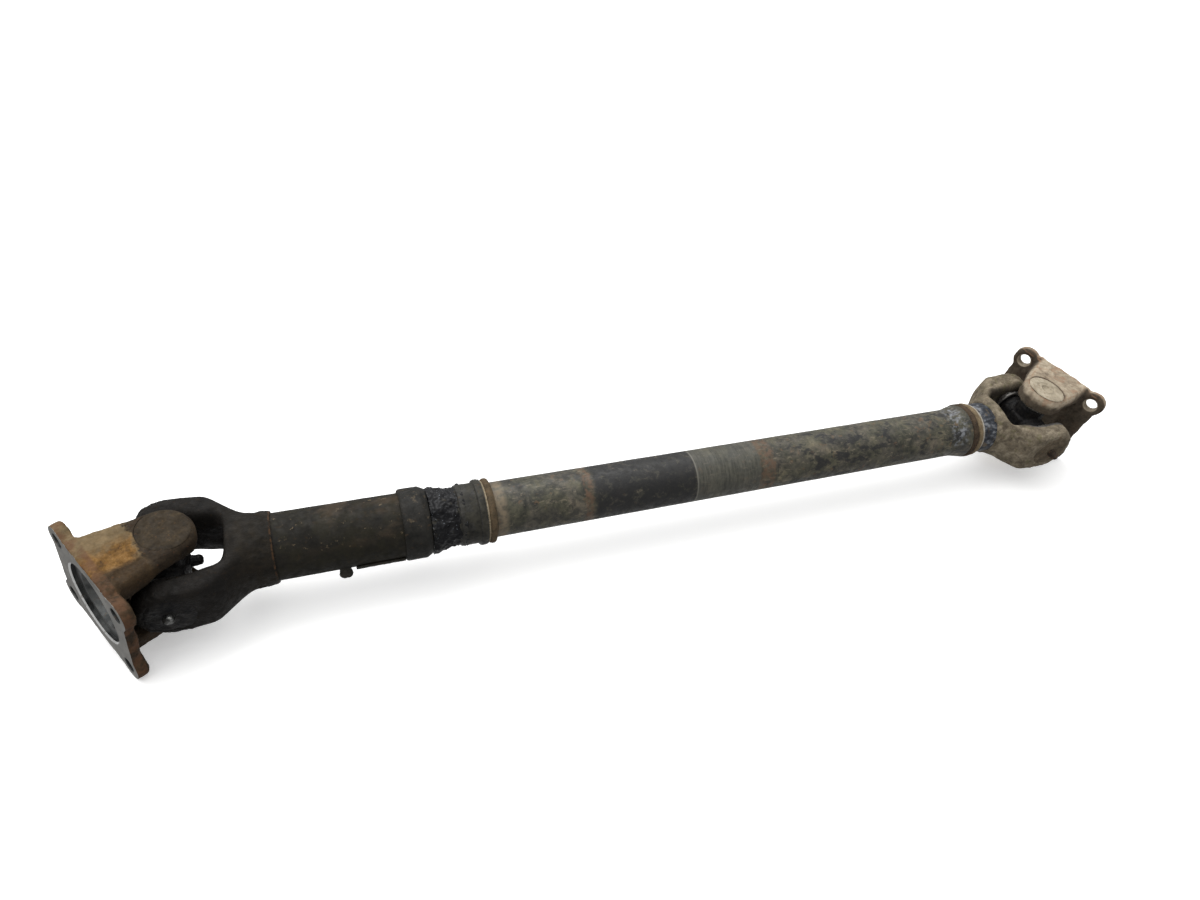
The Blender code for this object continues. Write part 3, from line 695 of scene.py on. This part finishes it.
def flange_outline():
    """Edge of the flange plate: four round lugs joined by straight sides."""
    lug = arc(BOLT_Y, BOLT_Z, 11, -50, 135, 14)
    points = []
    for sy, sz in ((1, 1), (-1, 1), (-1, -1), (1, -1)):
        corner = [(sy * y, sz * z) for y, z in lug]
        points += corner if sy * sz > 0 else corner[::-1]
    return points


def flange_yoke(local, node, seed):
    """Forging round the CAD yoke, then the machined face, recess, bores and holes cut sharp."""
    lip = extrude(flange_outline(), 43.5, 53)
    fill = both_ears("Z", CUP_BORE + 1, EAR_IN + 0.5, 37.8) + [rod("X", 30, 41.8, 53)]
    fill += [rod("X", 7, 42.3, 53, centre=(0, y, z)) for y, z in BOLTS]

    def amount(points):
        ear = (np.abs(points[:, 2]) > 33) & (np.hypot(points[:, 0], points[:, 1]) < 20)
        return np.where(ear, 0.3, 1.0)

    mesh = forged([cad_shape(node, local), lip] + fill, VOXEL, 9, FORGING, seed, amount=amount)
    points = points_of(mesh)
    crease = np.exp(-((points[:, 1] - 9 - 0.10 * points[:, 0]) / 1.8) ** 2)
    crease *= np.clip((points[:, 0] - 14) / 6, 0, 1) * np.clip((44 - points[:, 0]) / 5, 0, 1)
    points[:, 2] += 0.9 * crease * np.sign(points[:, 2]) * (np.abs(points[:, 2]) > 35)
    set_points(mesh, points)
    recess = lathe([(41, 0), (41, 18.5), (46.5, 21), (46.5, 29.2), (49.0, 29.2), (FACE_X + 0.02, 30.3),
                    (56, 30.3), (56, 0)], 128)
    cutters = [block((FACE_X, -80, -80), (70, 80, 80))] + both_ears("Z", CUP_BORE, 0, 60, 64)
    cutters += [rod("Z", 16.9, 37.6, 60, 64), recess]
    for y, z in BOLTS:
        hole = lathe([(36, 0), (36, 8.2), (41.5, 8.2), (42.4, 6.4), (43.2, 5.4), (49.5, 5.4),
                      (FACE_X + 0.02, 5.9), (56, 5.9), (56, 0)], 48)
        hole.transform(Matrix.Translation((0, y, z)))
        cutters.append(hole)
    mesh = cut(mesh, cutters)

    def rule(centre, normal):
        """0 forging, 1 face, 2 recess and holes, 3 rim of the recess."""
        radius = math.hypot(centre[1], centre[2])
        if centre[0] > 49.9:
            return 1
        if radius < 30.6 and centre[0] > 48.9:
            return 3
        if radius < 29.5 and centre[0] > 40.9 and abs(centre[2]) < 30 and normal[0] > -0.2:
            return 2
        if math.hypot(abs(centre[1]) - BOLT_Y, abs(centre[2]) - BOLT_Z) < 6.6 and centre[0] > 42:
            return 2
        return 0

    paint_faces(mesh, rule)
    return mesh


def ear_cover(seed, dimple, edge, top=38.7, lumps=0.2):
    """What fills the end of an ear: the cup's face under packed dirt, with a shallow centre dimple."""
    profile = [(CUP_FACE, 0), (CUP_FACE, 14.6), (38.2, 14.6), (38.25, edge), (top - 0.5, edge + 0.1),
               (top - 0.1, edge - 0.5), (top, edge - 2), (top, 9.4), (top - 0.35 * dimple, 8.6),
               (top - 0.3 * dimple, 6.2), (top, 5.4), (top - 0.6 * dimple, 4.2), (top - dimple, 2.2),
               (top - dimple, 0)]
    mesh = lathe(fine(profile, 0.8), 72)
    roughen(mesh, [(5, lumps), (1.6, lumps * 0.5)], seed, lambda p: (p[:, 0] > 36.9).astype(float))
    return mesh


def packed_ear(seed, top=42.3):
    """Cup end lost under a patch of caked dirt that runs out over the ear."""
    profile = [(CUP_FACE, 0), (CUP_FACE, 14.5), (40.2, 14.5), (40.2, 18.0), (41.2, 17.2),
               (top - 0.5, 14.5), (top, 9), (top, 0)]
    mesh = lathe(fine(profile, 0.8), 96)
    roughen(mesh, [(9, 0.9), (3.5, 0.5), (1.6, 0.25)], seed, lambda p: (p[:, 0] > 37).astype(float))
    return mesh


def fitting_ball(seat, seed):
    """Grease nipple of the sleeve, a ball of caked grease on a short neck."""
    profile = [(seat, 0), (seat, 4.2), (seat + 1.2, 3.9), (seat + 2.0, 4.3), (seat + 3.8, 4.8),
               (seat + 5.6, 4.3), (seat + 6.8, 2.7), (seat + 7.3, 0)]
    mesh = lathe(fine(profile, 0.5), 48)
    roughen(mesh, [(3.5, 0.45), (1.2, 0.25)], seed)
    return mesh


def nub(seat, tip, radius, seed):
    """Grease fitting caked in dirt."""
    profile = [(seat, 0), (seat, radius + 0.9), (seat + 0.9, radius + 0.4), (seat + 1.6, radius),
               (tip - 1.8, radius * 0.92), (tip - 0.7, radius * 0.72), (tip - 0.1, radius * 0.35),
               (tip, 0)]
    mesh = lathe(fine(profile, 0.5), 40)
    roughen(mesh, [(3.5, 0.5), (1.2, 0.25)], seed)
    return mesh


TO_MINUS_Y = Matrix.Rotation(-math.pi / 2, 4, "Z")
TO_Y = Matrix.Rotation(math.pi / 2, 4, "Z")
TO_Z = Matrix.Rotation(-math.pi / 2, 4, "Y")
TO_MINUS_Z = Matrix.Rotation(math.pi / 2, 4, "Y")


def turned(mesh, *matrices):
    for matrix in matrices:
        mesh.transform(matrix)
    return mesh


def inner_edge(points):
    """Freedom to be smoothed: 0.4 on a fork's inner edges and crotch, 0 at 12 mm from them."""
    past = np.maximum(points[:, 0] - 8, 0)
    inset = np.hypot(past, points[:, 1]) - EAR_IN
    near = np.clip(1.0 - np.maximum(inset - 5, 0) / 7, 0, 1)
    return 0.4 * near * np.clip((points[:, 0] + 4) / 8, 0, 1)


def shaft_side_plugs():
    """Rods that close the bores of a shaft yoke, so its ears are rounded as if solid."""
    return both_ears("Y", CUP_BORE + 1, EAR_IN + 0.6, 39.0)


def slip_fork():
    """Forged fork and neck of the slip yoke, open towards the sleeve for the spline."""
    sleeve_off = block((68, -60, -60), (220, 60, 60))
    spline_bore = rod("X", 18.9, 60, 72, 96)
    neck = lathe([(52, 19.2), (52, 26.1), (66.6, 26.1), (67.6, 25.0), (72, 25.0), (72, 19.2)], 128)
    solid = cut(cad_shape("slip_yoke", SHAFT), [block((66, -60, -60), (220, 60, 60))])

    def amount(points):
        return np.where(points[:, 0] > 64, 0.35, 1.0)

    mesh = forged([solid, neck] + shaft_side_plugs(), VOXEL, 26, [(12, 0.8), (4.5, 0.55), (1.8, 0.4)],
                  5, lambda p: np.where(p[:, 0] > 60, 0.15, 1.0), amount)
    smooth(mesh, 110, lambda p: np.clip((p[:, 0] - 10) / 8, 0, 1) * np.clip((54 - p[:, 0]) / 8, 0, 1))
    return cut(mesh, [sleeve_off, spline_bore] + both_ears("Y", CUP_BORE, 0, 80, 64))


def weld_fork():
    """Forged fork and hub of the weld yoke."""
    solid = cut(cad_shape("weld_yoke", WELD_YOKE), [block((49.2, -60, -60), (220, 60, 60))])
    hub = lathe([(36, 0), (36, 23.4), (48.6, 23.4), (49.6, 22.4), (49.6, 0)], 128)
    mesh = forged([solid, hub] + shaft_side_plugs(), VOXEL, 14, [(14, 1.0), (5, 0.55), (1.9, 0.35)],
                  9, lambda p: np.where(p[:, 0] > 45, 0.15, 1.0))
    smooth(mesh, 30,
           lambda p: inner_edge(p) + 0.6 * np.clip((p[:, 0] - 10) / 8, 0, 1) * (p[:, 0] < 44))
    return cut(mesh, both_ears("Y", CUP_BORE, 0, 80, 64))


def bumpy(height, wavelength, seed):
    """A wobble for lathe: bumps of a height and a wavelength along the axis."""
    def wobble(x, angle):
        p = Vector((x / wavelength, 3 * math.cos(angle), 3 * math.sin(angle) + seed * 9.1))
        return height * noise.noise(p)
    return wobble


def band(profile, step, height, wavelength, seed):
    """Turned ring with an uneven surface."""
    return lathe(fine(profile, step), ROUND, bumpy(height, wavelength, seed))


def from_left(profile):
    """A profile with its stations measured from the left joint, in the frame of the weld yoke."""
    return [(SPAN - x, radius) for x, radius in profile]


def grease_collar():
    """Grease pushed off the spline, thick against the cap and underneath, thin at the collar."""
    def wobble(x, angle):
        p = Vector((x * 0.17, 4.4 * math.cos(angle), 4.4 * math.sin(angle)))
        lumps = 1.7 * noise.noise(p) + 1.5 * abs(noise.noise(p * 2.2 + Vector((7, 1, 3))))
        under = max(0.0, -math.sin(angle))
        return lumps + max(0.0, 1 - (x - 176) / 17) * (0.3 + 1.8 * under)

    profile = [(175.6, 23.0), (178, 23.6), (183, 22.7), (188, 21.6), (193, 21.0), (197, 21.4),
               (201, 22.4)]
    mesh = lathe([(175.6, 19.2)] + fine(profile, 0.6) + [(201.5, 19.2)], 220)
    points = points_of(mesh)
    radius = np.hypot(points[:, 1], points[:, 2])
    for i in np.flatnonzero(radius > 20):
        grown = radius[i] + wobble(points[i, 0], math.atan2(points[i, 2], points[i, 1]))
        points[i, 1:] *= max(grown, 20.0) / radius[i]
    set_points(mesh, points)
    return mesh


# ---------------------------------------------------------------- pieces

def build_flanges():
    left_skins = [
        left_flange_skin(),
        machined("left_face_steel", LEFT_FLANGE, (0.16, 0.155, 0.14), (0.34, 0.33, 0.31), 0.35, 0.55),
        machined("left_recess_steel", LEFT_FLANGE, (0.045, 0.048, 0.048), (0.14, 0.143, 0.14),
                 0.25, 0.45),
        machined("rim_steel", LEFT_FLANGE, (0.70, 0.70, 0.69), (0.95, 0.95, 0.93), 0.12, 0.22)]
    add("left_flange_forging", flange_yoke(LEFT_FLANGE, "left_flange_yoke", 1), LEFT_FLANGE,
        "left_flange", left_skins, "rusty_iron", ["left_flange_yoke"], 34)
    face = machined("right_face_steel", RIGHT_FLANGE, (0.16, 0.15, 0.13), (0.34, 0.33, 0.30), 0.4, 0.6)
    holes = ridge_rust("right_hole_rust", RIGHT_FLANGE, (0.18, 0.14, 0.10), (0.42, 0.36, 0.27))
    right_skins = [right_flange_skin(), face, holes, face]
    add("right_flange_forging", flange_yoke(RIGHT_FLANGE, "right_flange_yoke", 2), RIGHT_FLANGE,
        "right_flange", right_skins, "dusty_iron", ["right_flange_yoke"], 34)
    brown = Shade("left_ear_cover_skin", LEFT_FLANGE)
    colour = crust(brown, [(0.3, (0.014, 0.011, 0.008)), (0.55, (0.042, 0.031, 0.019)),
                           (0.75, (0.080, 0.056, 0.030))], 7, (0.10, 0.055, 0.025), 0.45)
    brown = finish_crust(brown, colour, 0.6, 0.9)
    tan, colour = dusty_skin("right_ear_cover_skin", RIGHT_FLANGE, (0.22, 0.18, 0.13),
                             (0.36, 0.31, 0.23), (0.50, 0.44, 0.34))
    tan = finish_crust(tan, colour, 0.75, 0.95)
    for side, local, skin, slot in (("left", LEFT_FLANGE, brown, "rusty_iron"),
                                    ("right", RIGHT_FLANGE, tan, "dusty_iron")):
        for where, turn, seed in (("upper", TO_Z, 3), ("lower", TO_MINUS_Z, 4)):
            dimple, edge = (1.9, 16.1) if side == "right" else (0.4, 16.6)
            cover = turned(ear_cover(seed, dimple, edge), turn)
            add(f"{side}_{where}_ear_cover", cover, local, f"{side}_flange", [skin], slot)


def build_slip():
    add("slip_fork", slip_fork(), SHAFT, "slip", [slip_fork_skin()], "greasy_iron", ["slip_yoke"], 50)
    sleeve = [(67.0, 18.8), (67.0, SLEEVE_R)]
    sleeve += [(67 + 2 * i, SLEEVE_R) for i in range(1, 51)] + [(168, SLEEVE_R), (168, 18.8)]
    add("slip_sleeve", lathe(sleeve, ROUND, bumpy(0.14, 9, 1)), SHAFT, "slip", [sleeve_skin()],
        "greasy_iron")
    cap = greasy_skin("cap_skin", SHAFT, (0.009, 0.009, 0.008), (0.032, 0.030, 0.026), (0.4, 0.65), 0.3)
    profile = [(155.5, 24.2), (155.5, 25.4), (156.3, 26.3), (157.6, 26.6), (170.4, 26.6),
               (171.2, 26.2), (174.6, 24.3), (175.1, 23.6), (175.1, 19.6), (171.4, 19.6), (171.4, 24.2)]
    add("dust_cap_shell", band(profile, 1.2, 0.25, 8, 4), SHAFT, "slip", [cap], "greasy_iron",
        ["dust_cap"])
    caked = greasy_skin("caked_dirt", SHAFT, (0.014, 0.013, 0.011), (0.050, 0.045, 0.036))
    nipple = turned(fitting_ball(SLEEVE_R - 0.4, 7), TO_MINUS_Z, Matrix.Translation((112.5, 0, 0)),
                    Matrix.Rotation(math.radians(-49), 4, "X"))
    add("sleeve_nub", nipple, SHAFT, "slip", [caked], "ground_steel", ["sleeve_grease_nipple"])
    weight = forged([cad_shape("balance_weight", SHAFT)], 0.4, 4, [(4, 0.25), (1.5, 0.12)], 6)
    add("balance_strip", weight, SHAFT, "slip", [caked], "greasy_iron", ["balance_weight"])
    oily = dull_grease("ear_grease", SHAFT)
    for where, turn, seed in (("near", TO_MINUS_Y, 11), ("far", TO_Y, 12)):
        add(f"slip_{where}_ear_dirt", turned(packed_ear(seed), turn), SHAFT, "slip", [oily],
            "greasy_iron")
    glint = steel("greased_steel", (0.02, 0.02, 0.02), (0.26, 0.26, 0.25), 0.3)
    fitting = turned(nub(38.5, 47.0, 3.9, 13), TO_MINUS_Y)
    add("slip_cup_nub", fitting, SHAFT, "slip", [glint], "ground_steel",
        ["left_shaft_near_cup_grease_fitting"])


def build_tube():
    tube = [(223.0, 19.0), (223.0, 20.6), (223.6, TUBE_R)]
    tube += [(224 + 2 * i, TUBE_R) for i in range(208)]
    tube += [(641, 21.1), (645, 21.7), (649, 22.6), (652, 23.2), (653.6, 23.3), (654, 22.9),
             (654, 19.0)]
    add("painted_tube", lathe(tube, 160, bumpy(0.10, 18, 2)), SHAFT, "shaft", [tube_paint()],
        "tube_paint", ["tube"])
    skin = greasy_skin("stub_skin", SHAFT, (0.010, 0.010, 0.009), (0.060, 0.056, 0.043), (0.28, 0.5))
    body = [(194, 18.6), (194, 20), (197.5, 22.6), (200, 23.0), (209.6, 23.0), (210.4, 23.4),
            (210.9, 24.4), (212.2, 24.9), (214.8, 24.8), (215.9, 24.3), (216.3, 22.9), (217.1, 22.7),
            (217.1, 18.6)]
    add("stub_collar", band(body, 0.7, 0.35, 5, 3), SHAFT, "shaft", [skin], "greasy_iron")
    lumps = add("spline_grease", grease_collar(), SHAFT, None, [black_grease()], "greasy_iron", (), 60)
    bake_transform(lumps)


def build_rings():
    """Weld beads and the ridges and lines beside them."""
    line = [(215.7, 20), (215.7, 23.3), (216.6, 23.9), (217.5, 23.3), (217.5, 20)]
    add("bead_line", band(line, 0.5, 0.25, 4, 8), SHAFT, "shaft",
        [ridge_rust("pale_line", SHAFT, (0.20, 0.16, 0.10), (0.50, 0.42, 0.30))], "weld")
    bead = [(217.4, 19.2), (217.4, 23.2), (218.2, 24.3), (219.6, 24.8), (221.2, 24.7), (222.3, 24.0),
            (222.9, 22.4), (222.9, 19.2)]
    add("stub_bead", band(bead, 0.6, 0.4, 4, 5), SHAFT, "shaft",
        [ridge_rust("stub_bead_rust", SHAFT, (0.045, 0.035, 0.022), (0.15, 0.105, 0.06))], "weld",
        ["stub_weld_bead"])
    bead = [(654.2, 19.2), (654.2, 22.9), (655.0, 23.8), (656.6, 24.2), (658.4, 24.1), (659.6, 23.3),
            (659.9, 22.4), (659.9, 19.2)]
    add("yoke_bead", band(bead, 0.6, 0.55, 3.5, 6), SHAFT, "shaft",
        [ridge_rust("yoke_bead_rust", SHAFT, (0.028, 0.020, 0.014), (0.095, 0.066, 0.042))], "weld",
        ["yoke_weld_bead"])
    ridge = from_left([(660.1, 19), (660.1, 22.6), (660.9, 23.7), (662.4, 24.0), (663.9, 23.6),
                       (664.7, 22.9), (664.7, 19)])
    add("neck_ridge", band(ridge, 0.6, 0.4, 4, 7), WELD_YOKE, "shaft",
        [ridge_rust("ridge_rust", WELD_YOKE, (0.10, 0.075, 0.045), (0.30, 0.23, 0.14))], "weld")
    line = from_left([(664.9, 19), (664.9, 22.6), (665.7, 23.0), (666.7, 22.4), (666.7, 19)])
    add("neck_line", band(line, 0.4, 0.2, 4, 9), WELD_YOKE, "shaft",
        [ridge_rust("whitish_line", WELD_YOKE, (0.28, 0.25, 0.20), (0.55, 0.52, 0.46))], "weld")


def build_weld_yoke():
    neck = [(49.0, 19), (49.0, 22.1)] + from_left([(666.5, 22.1), (666.5, 19)])
    add("weld_neck", band(neck, 2, 0.12, 8, 11), WELD_YOKE, "shaft", [neck_paint()], "dusty_iron")
    add("weld_fork", weld_fork(), WELD_YOKE, "shaft", [weld_yoke_skin()], "dusty_iron",
        ["weld_yoke"], 50)
    dirt, colour = dusty_skin("right_ear_dirt", WELD_YOKE, (0.05, 0.042, 0.030), (0.115, 0.09, 0.06),
                              (0.22, 0.18, 0.13))
    dirt = finish_crust(dirt, colour, 0.75, 0.95)
    for where, turn, seed in (("near", TO_Y, 21), ("far", TO_MINUS_Y, 22)):
        add(f"weld_{where}_ear_dirt", turned(packed_ear(seed), turn), WELD_YOKE, "shaft", [dirt],
            "dusty_iron")
    fitting = turned(nub(40.6, 50.5, 3.3, 23), TO_Y)
    nub_skin = ridge_rust("nub_dirt", WELD_YOKE, (0.020, 0.015, 0.012), (0.075, 0.055, 0.04))
    add("weld_cup_nub", fitting, WELD_YOKE, "shaft", [nub_skin], "ground_steel",
        ["right_shaft_near_cup_grease_fitting"])


def build_crosses():
    for side, local in (("left", SHAFT), ("right", basis(RIGHT, ALONG, ALONG.cross(ACROSS)))):
        skin = dull_grease(f"{side}_cross_grease", local)
        mesh = forged([cad_shape(f"{side}_cross", local)], 0.8, 3, [(5, 0.5), (2, 0.25)], 31)
        add(f"{side}_cross_greased", mesh, local, f"{side}_cross", [skin], "ground_steel",
            [f"{side}_cross"], 60)
    caked = dull_grease("cross_fitting_grease", SHAFT)
    add("left_cross_nub", nub(13.0, 21.5, 4.0, 33), SHAFT, "left_cross", [caked], "ground_steel")


def finish_cad_nodes():
    """Materials for the CAD pieces that stay as they are."""
    cup = steel("cup_steel", (0.16, 0.15, 0.135), (0.42, 0.41, 0.39), 0.38)
    ring = steel("ring_steel", (0.10, 0.09, 0.08), (0.28, 0.26, 0.24), 0.45)
    needle = steel("needle_steel", (0.35, 0.35, 0.34), (0.62, 0.62, 0.60), 0.2)
    rubber = plain_soft("seal_rubber", (0.010, 0.010, 0.010), (0.030, 0.029, 0.028))
    felt = plain_soft("seal_felt", (0.05, 0.042, 0.03), (0.12, 0.10, 0.075))
    iron = greasy_skin("spline_iron", SHAFT, (0.012, 0.012, 0.011), (0.06, 0.057, 0.05), (0.25, 0.5))
    for name, item in nodes.items():
        kinds = (("bearing_cup", cup), ("snap_ring", ring), ("needle_set", needle),
                 ("trunnion_seal", rubber), ("dust_seal", felt), ("end_plug", cup),
                 ("spline_stub", iron))
        for kind, material in kinds:
            if kind in name:
                item.data.materials.clear()
                item.data.materials.append(material)


# ---------------------------------------------------------------- stage, light and camera

def build_stage():
    s = Shade("pale_floor", Matrix.Identity(4), 0.9)
    s.colour(s.ramp(s.noise(400, 3), [(0.3, (0.90, 0.90, 0.895)), (0.7, (0.93, 0.93, 0.925))]))
    s.shader.inputs["Emission Color"].default_value = (1, 1, 1, 1)
    s.shader.inputs["Emission Strength"].default_value = 0.35
    bm = bmesh.new()
    bmesh.ops.create_grid(bm, x_segments=1, y_segments=1, size=8)
    mesh = from_bmesh(bm)
    mesh.materials.append(s.material)
    floor = bpy.data.objects.new("floor", mesh)
    bpy.context.scene.collection.objects.link(floor)
    world = bpy.data.worlds.new("studio")
    world.use_nodes = True
    background = world.node_tree.nodes["Background"]
    background.inputs["Strength"].default_value = 1.0
    coords = world.node_tree.nodes.new("ShaderNodeTexCoord")
    split = world.node_tree.nodes.new("ShaderNodeSeparateXYZ")
    ramp = world.node_tree.nodes.new("ShaderNodeValToRGB")
    ramp.color_ramp.elements[0].position = 0.0
    ramp.color_ramp.elements[0].color = (0.42, 0.42, 0.42, 1)
    ramp.color_ramp.elements[1].position = 0.9
    ramp.color_ramp.elements[1].color = (0.72, 0.72, 0.72, 1)
    world.node_tree.links.new(coords.outputs["Generated"], split.inputs[0])
    world.node_tree.links.new(split.outputs[2], ramp.inputs[0])
    world.node_tree.links.new(ramp.outputs[0], background.inputs["Color"])
    bpy.context.scene.world = world
    floor.visible_diffuse = False
    floor.visible_glossy = False


def softbox(name, position, target, size, power):
    """Rectangular lamp that faces a target."""
    light = bpy.data.lights.new(name, "AREA")
    light.shape = "RECTANGLE"
    light.size, light.size_y = size
    light.energy = power
    item = bpy.data.objects.new(name, light)
    item.location = position
    direction = Vector(target) - Vector(position)
    item.rotation_euler = direction.to_track_quat("-Z", "Y").to_euler()
    bpy.context.scene.collection.objects.link(item)


def build_lights():
    softbox("overhead", (-0.3, 0.5, 1.6), (0, 0, 0), (1.6, 0.9), 10)
    softbox("front_left", (-1.5, -1.1, 0.9), (-0.2, 0, 0.03), (0.9, 0.9), 3)
    sun = bpy.data.lights.new("sky", "SUN")
    sun.energy = 1.6
    sun.angle = math.radians(100)
    item = bpy.data.objects.new("sky", sun)
    item.rotation_euler = (math.radians(-12), math.radians(-8), 0)
    bpy.context.scene.collection.objects.link(item)


def build_camera():
    """The photograph's view: the camera's place from a point on the sleeve, and its axes."""
    foot = SHAFT @ Vector((113.3 * MM, 0, 0))
    eye = foot + Vector((0, -0.50045, 0.40197))
    forward = Vector((0.301, 0.7725, -0.5591)).normalized()
    right = forward.cross(Vector((0.1461, 0.542, 0.8275))).normalized()
    up = right.cross(forward)
    camera = bpy.data.cameras.new("camera")
    camera.sensor_width = 36
    camera.lens = 25.5
    camera.clip_start = 0.01
    item = bpy.data.objects.new("camera", camera)
    matrix = Matrix((right, up, -forward)).transposed().to_4x4()
    matrix.translation = eye
    item.matrix_world = matrix
    bpy.context.scene.collection.objects.link(item)
    bpy.context.scene.camera = item


finish_cad_nodes()
build_flanges()
build_slip()
build_tube()
build_rings()
build_weld_yoke()
build_crosses()
build_stage()
build_lights()
build_camera()
bpy.context.scene.view_settings.view_transform = "Standard"
